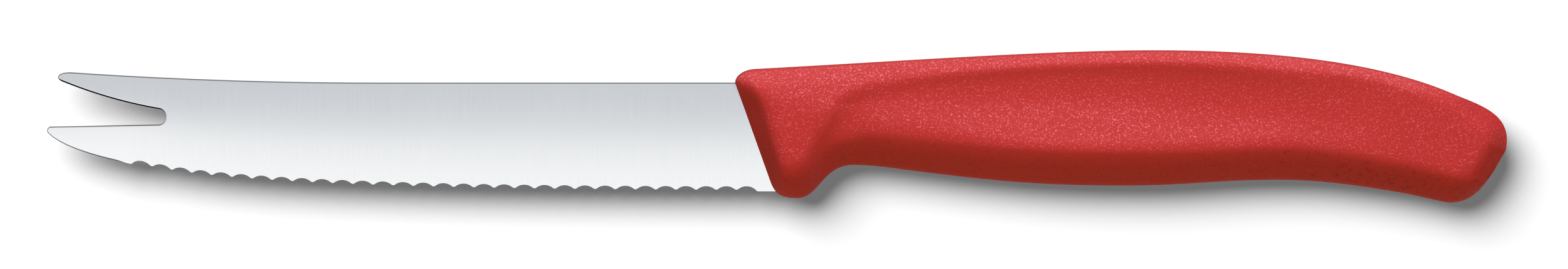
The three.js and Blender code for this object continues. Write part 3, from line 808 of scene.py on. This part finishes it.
# Sizes at distances behind the handle's front, with soft steps between them.
THICKNESS = {7.5: 14.13, 19: 12.4, 57.5: 13.8, 116.5: 12.8}  # before the bevels take some of it
SHOULDER = {5: 0.80, 48: 0.82, 77: 0.915, 104: 0.94}  # how far out the back is full, as a share
CHAMFER_RISE = {6: 4.9, 8.6: 5.2, 12.3: 8.5, 20: 5.9, 48: 5.45, 77: 5.75, 104: 4.8}  # of the slanted face
MOST_CHAMFER = 0.4  # share of the height that it takes at most

# Corners that steer a ring. Under the back: mm down and the share of the height that this is at most, the
# step out from the shoulder, and the share of the way from the shoulder to the full thickness.
BACK_CORNERS = (
    (0, 0, -0.30, 0),
    (0.45, 0.03, -0.18, 0),
    (2.0, 0.12, 0, 0),
    (3.8, 0.22, 0, 0.55),
    (math.inf, 0.42, 0, 1),
)
# Over the underside: the rise as a share of the slanted face, and how far out.
LOW_CORNERS = ((1.3, 1.0), (0.98, 0.955), (0.6, 0.76), (0.3, 0.475), (0, 0.10))


def between(x, stations):
    """The size at a distance behind the front."""
    places = list(stations)
    value = np.full_like(x, stations[places[0]])
    for start, end in zip(places, places[1:]):
        value += smoothstep(x, start, end) * (stations[end] - stations[start])
    return value


end_share = END_REACH / ((back_length + low_length) / 2)
ease = 1 - np.cos(np.linspace(0, math.pi / 2, END_RINGS))
grip_shares = np.linspace(end_share, 1 - end_share, GRIP_RINGS)[1:-1]
shares = np.concatenate((ease * end_share, grip_shares, 1 - ease[::-1] * end_share))
back = along(back_rail, shares * back_length)
low = along(low_rail, shares * low_length)
across = low - back
height = np.linalg.norm(across, axis=1)
middle_x = (back[:, 0] + low[:, 0]) / 2

half_out = between(middle_x, THICKNESS) / 2
shoulder = between(middle_x, SHOULDER)
chamfer = np.minimum(between(low[:, 0], CHAMFER_RISE), MOST_CHAMFER * height)
corners = []
for most_down, share_down, step_out, share_out in BACK_CORNERS:
    out = shoulder + step_out + share_out * (1 - shoulder)
    corners.append((np.minimum(most_down, share_down * height), out))
for rise, out in LOW_CORNERS:
    corners.append((height - rise * chamfer, np.full_like(height, out)))
corners += [(down, -out) for down, out in reversed(corners)]
steer = np.array(corners).transpose(2, 0, 1)
corner_count = steer.shape[1]

line = []
for i in range(corner_count):
    here = steer[:, i]
    start = (steer[:, i - 1] + here) / 2
    end = (here + steer[:, (i + 1) % corner_count]) / 2
    for share in np.arange(CORNER_STEPS) / CORNER_STEPS:
        line.append((1 - share) ** 2 * start + 2 * share * (1 - share) * here + share**2 * end)
line = np.array(line).transpose(1, 0, 2)
line[:, :, 1] *= (half_out / line[:, :, 1].max(axis=1))[:, None]
print("rings:", len(shares), "steered by", corner_count, "corners each")

# %% Thumb hollows
RIDGE_RISE = {17: 6.7, 48: 6.2}  # of the ridge over the underside
DISH_LEVEL = {17: 5.85, 57.5: 6.5, 77: 6.2, 104: 6.05}  # of the dish at the ridge, from the middle plane
DISH_CLIMB = {17: 0.21, 40: 0.24, 77: 0.23, 88: 0.16, 104: 0.05}  # slope up to the ridge
DISH_FALL = {17: 0.09, 40: 0.34, 77: 0.38, 100: 0.08}  # slope down from the back
DISH_LEAD = {17: 0.1, 40: 0.3, 55: 0.3, 80: 0.0}  # share of the dish that climbs straight
DISH_ROUND = 2.5  # the more, the later the dish turns up to the back
BAND = 2.1  # left of the barrel under the back
FRONT_LINE_X = 9.85  # where the hollow starts behind the guard, on the middle line
FRONT_LINE_LEAN = 0.37
FRONT_BEND_FROM = 5.0  # over this height the line bends back to run along under the back
FRONT_BEND = 0.33
WALL_RUN = {-1: 2.9, 2: 2.35, 6: 2.6}  # mm in which the front wall falls, by height
WALL_ROUND = 1.7
SINK_DEPTH = 1.1  # of the hollow's front corner, where it runs out over the finger notch
SINK_X = 12.5
SINK_LENGTH = 4.5
SINK_TOP = 5.5
SINK_FOOT = -1.0
BACK_BLEND = 0.6  # rounding of the crease under the back
RIDGE_BLEND = {20: 1.1, 48: 0.5, 80: 0.85}  # rounding of the ridge above the underside
BLEND_CHANGE = (0.3, 0.7)  # shares of the dish between which one rounding becomes the other


def soft_min(a, b, blend):
    """The lesser of two values, rounded where they come close."""
    near = np.maximum(blend - np.abs(a - b), 0) / blend
    return np.minimum(a, b) - near**2 * blend / 4


down = line[:, :, 0]
place_x = back[:, :1] + across[:, :1] * down / height[:, None]
place_y = back[:, 1:] + across[:, 1:] * down / height[:, None]
ridge_down = height[:, None] - between(place_x, RIDGE_RISE)
span = np.maximum(ridge_down - BAND, 1)
over_ridge = ridge_down - down
climb = between(place_x, DISH_CLIMB)
turn = climb + between(place_x, DISH_FALL)
lead = between(place_x, DISH_LEAD)
bent = np.maximum((over_ridge / span - lead) / (1 - lead), 0)
dish = between(place_x, DISH_LEVEL) - climb * over_ridge
dish += turn * span * (1 - lead) / DISH_ROUND * bent**DISH_ROUND
over_bend = np.maximum(place_y - FRONT_BEND_FROM, 0)
front_line = FRONT_LINE_X + FRONT_LINE_LEAN * place_y + FRONT_BEND * over_bend**2
line_lean = FRONT_LINE_LEAN + 2 * FRONT_BEND * over_bend
behind_line = np.maximum(place_x - front_line, 0) / np.hypot(1, line_lean)
fallen = 1 - np.exp(-((behind_line / between(place_y, WALL_RUN)) ** WALL_ROUND))
sink = 1 - smoothstep(place_y, SINK_FOOT, SINK_TOP)
dish -= SINK_DEPTH * sink * np.exp(-(((place_x - SINK_X) / SINK_LENGTH) ** 2))
blend = between(place_x, RIDGE_BLEND)
blend += (BACK_BLEND - blend) * smoothstep(over_ridge / span, *BLEND_CHANGE)
barrel = np.abs(line[:, :, 1])
half_line = barrel - fallen * (barrel - soft_min(barrel, dish, blend))
print("deepest cut of a hollow leaves", round(float(dish.min()), 2), "mm to the middle plane")

# %% Bevelled ends
# Half thickness left at the end, the face's slope in degrees, its straight part and its turn in mm.
MOUTH_BEVEL = (0.9, 65, 2.1, 3.4)
BUTT_BEVEL = (1.9, 54, 1.5, 4.2)
LEAST_SLOPE = 5  # degrees, where a bevel has turned nearly flat
BEVEL_REACH = 130  # mm
BEVEL_STEPS = 6500
MOUTH_NARROW = 0.99  # factor on the distance from the front: the more, the narrower the bevel
MOUTH_SPREAD = 0.04  # by which that falls for each mm up
MOUTH_LIMITS = (0.86, 1.5)
MOUTH_BLEND = {-7: 2.5, -2: 2.1}  # rounding by height; rounder at the guard
MOUTH_FADE = {4.0: 0.0, 9.6: 0.88}  # share of the front bevel that is lost, by height
BUTT_FROM = 100  # mm behind the front
BUTT_FADE = {BUTT_FROM: 7.0, 114: 0.0}  # mm that the butt's bevel moves outwards as it fades along the rails
BUTT_STEP = 0.1
BUTT_BLEND = 0.8


def bevel(distance, land, slope, straight, turn):
    """Half thickness at a distance from an end: a steep straight face that then turns nearly flat."""
    steps = np.linspace(0, BEVEL_REACH, BEVEL_STEPS)
    angles = slope * (1 - np.clip((steps - straight) / turn, 0, 1))
    slopes = np.tan(np.radians(np.maximum(angles, LEAST_SLOPE)))
    rises = np.cumsum(slopes[:-1] * np.diff(steps))
    return land + np.interp(distance, steps, np.concatenate(((0,), rises)))


from_mouth = (place_x - handle_front(place_y)) * math.cos(math.radians(HANDLE_SLANT))
from_mouth *= np.clip(MOUTH_NARROW - MOUTH_SPREAD * place_y, *MOUTH_LIMITS)
butt_facet = np.array((back_rail[-1], low_rail[-1]))
butt_end = np.concatenate([evenly(edge, BUTT_STEP) for edge in (back_rail, low_rail, butt_facet)])
butt_end = butt_end[butt_end[:, 0] > BUTT_FROM]
from_butt = np.full_like(place_x, np.inf)
for (x, y), fade in zip(butt_end, between(butt_end[:, 0], BUTT_FADE)):
    from_butt = np.minimum(from_butt, np.hypot(place_x - x, place_y - y) + fade)
mouth_face = bevel(from_mouth, *MOUTH_BEVEL)
butt_face = bevel(from_butt, *BUTT_BEVEL)
mouth_cut = half_line - soft_min(half_line, mouth_face, between(place_y, MOUTH_BLEND))
half_line = half_line - mouth_cut * (1 - between(place_y, MOUTH_FADE))
half_line = soft_min(half_line, butt_face, BUTT_BLEND)
line[:, :, 1] = np.sign(line[:, :, 1]) * np.maximum(half_line, 0)
end_halves = [round(float(half_line[ring].max()), 2) for ring in (0, -1)]
print("half thickness at the ends:", end_halves, "mm")

# %% Skin with its parting line
PARTING_WIDTH = 0.16  # mm, the fine line where the mould's two halves met
PARTING_DEPTH = 0.05
PARTING_SHAPE = ((-1, 0), (-0.5, 0), (0, 1), (0.5, 0), (1, 0))  # shares of its width and depth

belly_index = corner_count // 2 * CORNER_STEPS
top_groove = []
low_groove = []
for side, sink in PARTING_SHAPE:
    aside = np.full_like(height, PARTING_WIDTH * side)
    sunk_by = np.full_like(height, PARTING_DEPTH * sink)
    top_groove.append(np.column_stack((sunk_by, aside)))
    low_groove.append(np.column_stack((height - sunk_by, -aside)))
top_groove, low_groove = (np.array(groove).transpose(1, 0, 2) for groove in (top_groove, low_groove))
line = np.concatenate((top_groove, line[:, 1:belly_index], low_groove, line[:, belly_index + 1 :]), axis=1)

flat = back[:, None, :] + across[:, None, :] * (line[:, :, 0] / height[:, None])[:, :, None]
skin = np.concatenate((flat, line[:, :, 1:]), axis=2)
ring_count, around = skin.shape[:2]
faces = []
for i in range(ring_count - 1):
    for k in range(around):
        a = i * around + k
        b = i * around + (k + 1) % around
        faces.append((a, b, b + around, a + around))
faces.append(tuple(reversed(range(around))))
faces.append(tuple(range((ring_count - 1) * around, ring_count * around)))

handle_mesh = bpy.data.meshes.new("moulded_handle")
handle_mesh.from_pydata(skin.reshape(-1, 3).tolist(), [], faces)
handle = put_in_place(handle_mesh, "moulded_handle")
print("handle:", len(handle_mesh.polygons), "faces")

# %% Painted glints and dark blotches
WALL_GRAIN = 0.2  # share of the grain's depth on steep walls, where it must slide out of the mould
OPEN_TO_BACK = (-0.35, 0.0)  # how far a face looks to the back, and to the side, until it has its full grain
OPEN_TO_SIDE = (0.45, 0.7)
GLINT_END = (100, 112)  # mm behind the front between which the painted glints fade out
GLINT_FACING = (0.03, 0.25)  # how far a face looks to the back, towards the key, where painted glints start
GLINT_FACING_MOST = (0.3, 0.5)
EXTRA_GLINT = 0.5  # what that adds
BLOTCH_FACING = (0.2, 0.5)  # how far a face looks down where the dark blotches go
BLOTCH_REAR = (60, 95)  # mm behind the front; more blotches at the rear
BLOTCH_FRONT = 0.3  # share of them at the front

normals = np.empty(3 * len(handle_mesh.vertices), np.float32)
handle_mesh.vertex_normals.foreach_get("vector", normals)
to_back = normals[1::3]
to_side = np.abs(normals[2::3])
from_front = skin[:, :, 0].ravel()
open_face = np.minimum(smoothstep(to_back, *OPEN_TO_BACK), smoothstep(to_side, *OPEN_TO_SIDE))
# Painted glints: on the faces that look to the back, towards the key, fading out at the butt.
glint_kept = 1 - smoothstep(from_front, *GLINT_END)
glinting = smoothstep(to_back, *GLINT_FACING) + EXTRA_GLINT * smoothstep(to_back, *GLINT_FACING_MOST)
rear = BLOTCH_FRONT + (1 - BLOTCH_FRONT) * smoothstep(from_front, *BLOTCH_REAR)
finish = {
    "grain_depth": WALL_GRAIN + (1 - WALL_GRAIN) * open_face,
    "blotch_mask": smoothstep(-to_back, *BLOTCH_FACING) * rear,
    "glinting": glinting * open_face * glint_kept,
}
keep_numbers(handle_mesh, "POINT", finish)
print("share of the skin that is rubbed:", round(float((finish["glinting"] > EXTRA_GLINT).mean()), 2))

# %% [markdown]
# ## Finish of the handle: grained polypropylene
# Polypropylene, coloured through in red and moulded against spark-eroded steel. The spark leaves round
# craters about a quarter of a millimetre wide, so the skin is matt from far and sparkles close up. Bump
# alone makes a grain that is too even, so the crests are painted a little paler as painted glints, and are
# smoother than the pits. These glints and a faint sheen are strongest on the faces that look up to the
# back, towards the key, and fade out at the butt. On steep walls the grain is shallower. A slow variation
# of colour stands for the flow of the melt, and the faces that look down get small dark blotches.

# %% Plastic
RED = "#C0362A"
RED_DEEP = "#B83327"
FLOW_WIDTH = 22  # mm
GRAIN_WIDTH = 0.27  # mm
GRAIN_DEPTH = 0.06  # mm
CREST_FROM = 0.55  # of the grain's noise
CREST_FULL = 0.7
CREST_ROUGHNESS = 0.45
PIT_ROUGHNESS = 0.6
RED_GLINT = "#E36E66"  # painted glints on the grain's crests
HAZE = 0.05  # share of the glint colour between the crests, a faint painted sheen
LEAST_GLINT = 0.54  # share of that colour on faces that do not look to the back
MOST_GLINT = 1.27  # over 1 the specks also grow
LEAST_SHEEN = 0.03  # the fine grain scatters most of the gloss
MOST_SHEEN = 0.45
MOST_GLINTING = 1 + EXTRA_GLINT
RED_BLOTCH = "#8E2419"
BLOTCH_WIDTH = 0.9  # mm
BLOTCH_FROM = 0.55
BLOTCH_FULL = 0.75
MOST_BLOTCHED = 0.6
PLASTIC_IOR = 1.49

plastic = bare_finish("grained_red_polypropylene")
tree = plastic.node_tree
spot = add(tree, "ShaderNodeTexCoord").outputs["Object"]
grain_here, glinting_here, blotch_here = (
    add(tree, "ShaderNodeAttribute", attribute_name=name, attribute_type="GEOMETRY").outputs["Fac"]
    for name in ("grain_depth", "glinting", "blotch_mask")
)
crater_scale = 1 / (MM * GRAIN_WIDTH)
craters = {"Vector": spot, "Scale": crater_scale, "Detail": 1.0, "Roughness": 0.6, "Distortion": 0.5}
grain = add(tree, NOISE, craters)
flow = add(tree, NOISE, {"Vector": spot, "Scale": 1 / (MM * FLOW_WIDTH), "Detail": 2.0})
blotch = add(tree, NOISE, {"Vector": spot, "Scale": 1 / (MM * BLOTCH_WIDTH), "Detail": 2.0})

# Painted glints: the grain's crests take a paler red, most on the faces that look to the back.
crest = add(tree, RANGE, {0: grain, 1: CREST_FROM, 2: CREST_FULL, 3: HAZE, 4: 1.0})
glint_weight = add(tree, RANGE, {0: glinting_here, 2: MOST_GLINTING, 3: LEAST_GLINT, 4: MOST_GLINT})
glint_weight = add(tree, MATH, {0: glint_weight, 1: grain_here}, operation="MULTIPLY")
glint_share = add(tree, MATH, {0: crest, 1: glint_weight}, operation="MULTIPLY")
# Dark blotches on the faces that look down, more towards the rear.
blotch = add(tree, RANGE, {0: blotch, 1: BLOTCH_FROM, 2: BLOTCH_FULL, 3: 0.0, 4: MOST_BLOTCHED})
blotched = add(tree, MATH, {0: blotch, 1: blotch_here}, operation="MULTIPLY")
red = linear(RED_DEEP)
for share, colour in ((flow, RED), (glint_share, RED_GLINT), (blotched, RED_BLOTCH)):
    reds = {"Factor": share, COLOUR_A: red, COLOUR_B: linear(colour)}
    red = add(tree, MIX, reds, data_type="RGBA").outputs[COLOUR_MIXED]

rough = add(tree, RANGE, {0: grain, 1: NOISE_LOW, 2: NOISE_HIGH, 3: PIT_ROUGHNESS, 4: CREST_ROUGHNESS})
sheen = add(tree, RANGE, {0: glinting_here, 2: MOST_GLINTING, 3: LEAST_SHEEN, 4: MOST_SHEEN})
relief = add(
    tree, "ShaderNodeBump", {"Height": grain, "Strength": grain_here, "Distance": MM * GRAIN_DEPTH}
)
skin_shader = add(
    tree,
    "ShaderNodeBsdfPrincipled",
    {
        "Base Color": red,
        "Roughness": rough,
        "IOR": PLASTIC_IOR,
        "Specular IOR Level": sheen,
        "Normal": relief,
    },
)
add(tree, "ShaderNodeOutputMaterial", {"Surface": skin_shader})
handle_mesh.materials.append(plastic)
print("plastic nodes:", len(tree.nodes))

# %% [markdown]
# ## Table, light and camera
# The knife lies on a plain white table. Three soft lamps light the knife only: a key from behind it, which
# makes the shoulders bright and leaves the underside dark, a softbox overhead whose mirror image lights
# the lower half of the blade, and a weak yellowish fill from the front. A broad sun lights the table only
# and throws the knife's soft shadow to the lower right. One lamp for both would be simpler, but splitting
# the light this way keeps the table white with no extra light on the knife.

# %% Table
TABLE_GREY = "#C4C4C4"
TABLE_SIDE = 60  # m
TABLE_GAP = 0.02  # mm under the knife

corner_at = TABLE_SIDE / 2
table_corners = [(x * corner_at, y * corner_at, 0) for x, y in ((-1, -1), (1, -1), (1, 1), (-1, 1))]
table_mesh = bpy.data.meshes.new("table")
table_mesh.from_pydata(table_corners, [], [(0, 1, 2, 3)])
table_paint = bare_finish("matt_white_table")
matt = add(table_paint.node_tree, "ShaderNodeBsdfDiffuse", {"Color": linear(TABLE_GREY)})
add(table_paint.node_tree, "ShaderNodeOutputMaterial", {"Surface": matt})
table_mesh.materials.append(table_paint)
floor = bpy.data.objects.new("table", table_mesh)
floor.location.z = -TABLE_GAP * MM
floor.visible_diffuse = False  # it throws no light back on to the knife
bpy.context.scene.collection.objects.link(floor)
print("table:", TABLE_SIDE, "m wide")

# %% World
AMBIENT = 0.30
WHITE = (1, 1, 1, 1)

world = bpy.data.worlds.new("studio")
bpy.context.scene.world = world
world.use_nodes = True
tree = world.node_tree
tree.nodes.clear()
ray = add(tree, "ShaderNodeLightPath").outputs
seen = add(tree, MATH, {0: ray["Is Camera Ray"], 1: ray["Is Glossy Ray"]}, operation="MAXIMUM")
seen = add(tree, MATH, {0: seen, 1: ray["Is Transmission Ray"]}, operation="MAXIMUM")
room_light = add(tree, "ShaderNodeBackground", {"Color": WHITE, "Strength": AMBIENT})
backdrop = add(tree, "ShaderNodeBackground", {"Color": WHITE, "Strength": 1.0})
surroundings = add(tree, "ShaderNodeMixShader", {0: seen, 1: room_light, 2: backdrop})
add(tree, "ShaderNodeOutputWorld", {"Surface": surroundings})
print("world: white to the eye, and a light of", AMBIENT, "from all sides")

# %% Lamps
KEY_LEVEL = 0.885  # brightness that the key alone gives a white card facing it
KEY_TINT = (1.0, 0.84, 1.5)
KEY_ELEVATION = 43
KEY_HEADING = 84  # degrees from +X, where the key stands
KEY_DISTANCE = 1.0
KEY_SIDE = 0.5
SOFTBOX_LEVEL = 0.68  # its own brightness, as the blade mirrors it
SOFTBOX_HEIGHT = 0.9
SOFTBOX_LENGTH = 1.1
SOFTBOX_WIDTH = 0.5
SOFTBOX_TINT = (1.0, 0.93, 0.82)
SOFTBOX_START = -0.0385  # its rear edge, in front of the blade's middle line
FILL_LEVEL = 0.12  # as for the key
FILL_TINT = (0.83, 1.1, 0.2)
FILL_ELEVATION = 20
FILL_HEADING = -90
FILL_WIDTH = 60
SUN_LEVEL = 1.57  # brightness that it alone gives a white table
SUN_ELEVATION = 57.5
SUN_HEADING = 131.5
SUN_WIDTH = 38

knife_only = bpy.data.collections.new("lit_by_lamps")
table_only = bpy.data.collections.new("lit_by_sun")
for piece in (blade, handle):
    knife_only.objects.link(piece)
    piece.visible_diffuse = False  # no piece throws light on another or on the table
blade.visible_glossy = False  # the plastic's sheen does not mirror the blade
table_only.objects.link(floor)


def lamp_at(name, kind, place, receivers):
    """A lamp that stands there, points at the knife, and lights only its receivers."""
    lamp = bpy.data.objects.new(name, bpy.data.lights.new(name, kind))
    lamp.location = place
    lamp.rotation_euler = (-place).to_track_quat("-Z", "Y").to_euler()
    lamp.visible_camera = False
    lamp.light_linking.receiver_collection = receivers
    bpy.context.scene.collection.objects.link(lamp)
    return lamp


def direction(azimuth, elevation):
    """A step of 1 m that way."""
    step = heading(azimuth, math.cos(math.radians(elevation)))
    return Vector((step[0], step[1], math.sin(math.radians(elevation))))


key = lamp_at("key", "AREA", direction(KEY_HEADING, KEY_ELEVATION) * KEY_DISTANCE, knife_only)
key.data.color = KEY_TINT
key.data.size = KEY_SIDE
key.data.energy = KEY_LEVEL * math.pi**2 * KEY_DISTANCE**2

softbox = lamp_at("softbox", "AREA", Vector((0, 0, SOFTBOX_HEIGHT)), knife_only)
softbox.rotation_euler = (0, 0, 0)
softbox.location.y = SOFTBOX_START - SOFTBOX_WIDTH / 2
softbox.data.color = SOFTBOX_TINT
softbox.data.shape = "RECTANGLE"
softbox.data.size = SOFTBOX_LENGTH
softbox.data.size_y = SOFTBOX_WIDTH
softbox.data.energy = SOFTBOX_LEVEL * math.pi * SOFTBOX_LENGTH * SOFTBOX_WIDTH

fill = lamp_at("fill", "SUN", direction(FILL_HEADING, FILL_ELEVATION), knife_only)
fill.data.color = FILL_TINT
fill.data.angle = math.radians(FILL_WIDTH)
fill.data.energy = FILL_LEVEL * math.pi

# The steel must not mirror these two tinted lamps.
key.visible_glossy = False
fill.visible_glossy = False

sun = lamp_at("sun", "SUN", direction(SUN_HEADING, SUN_ELEVATION), table_only)
sun.light_linking.blocker_collection = knife_only
sun.data.angle = math.radians(SUN_WIDTH)
sun.data.energy = SUN_LEVEL * math.pi / math.sin(math.radians(SUN_ELEVATION))
print("lamps:", key.name, softbox.name, fill.name, sun.name)

# %% Camera
PHOTO_WIDTH = 2500  # px
PHOTO_HEIGHT = 429  # px
PX_PER_MM = 10.27
DATUM_X = 1204.5  # px, where X = 0 of the knife's axes lies in the photograph
DATUM_Y = 218.35  # px, where Y = 0 lies
LENS = 200
SENSOR = 36
FAR = 100  # m, up to which the camera sees

centre_x = (PHOTO_WIDTH / 2 - DATUM_X) / PX_PER_MM
centre_y = (DATUM_Y - PHOTO_HEIGHT / 2) / PX_PER_MM
distance = PHOTO_WIDTH / PX_PER_MM * LENS / SENSOR
camera_data = bpy.data.cameras.new("camera")
camera_data.sensor_width = SENSOR
camera_data.lens = LENS
camera_data.clip_end = FAR
camera = bpy.data.objects.new("camera", camera_data)
camera.location = to_frame @ Vector((centre_x, centre_y, distance))
bpy.context.scene.collection.objects.link(camera)
bpy.context.scene.camera = camera
bpy.context.scene.view_settings.view_transform = "Standard"
print("camera height:", round(camera.location.z, 4), "m")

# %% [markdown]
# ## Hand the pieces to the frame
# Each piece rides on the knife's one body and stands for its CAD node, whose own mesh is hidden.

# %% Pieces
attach(blade, "root")
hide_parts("blade")
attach(handle, "root")
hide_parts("handle")
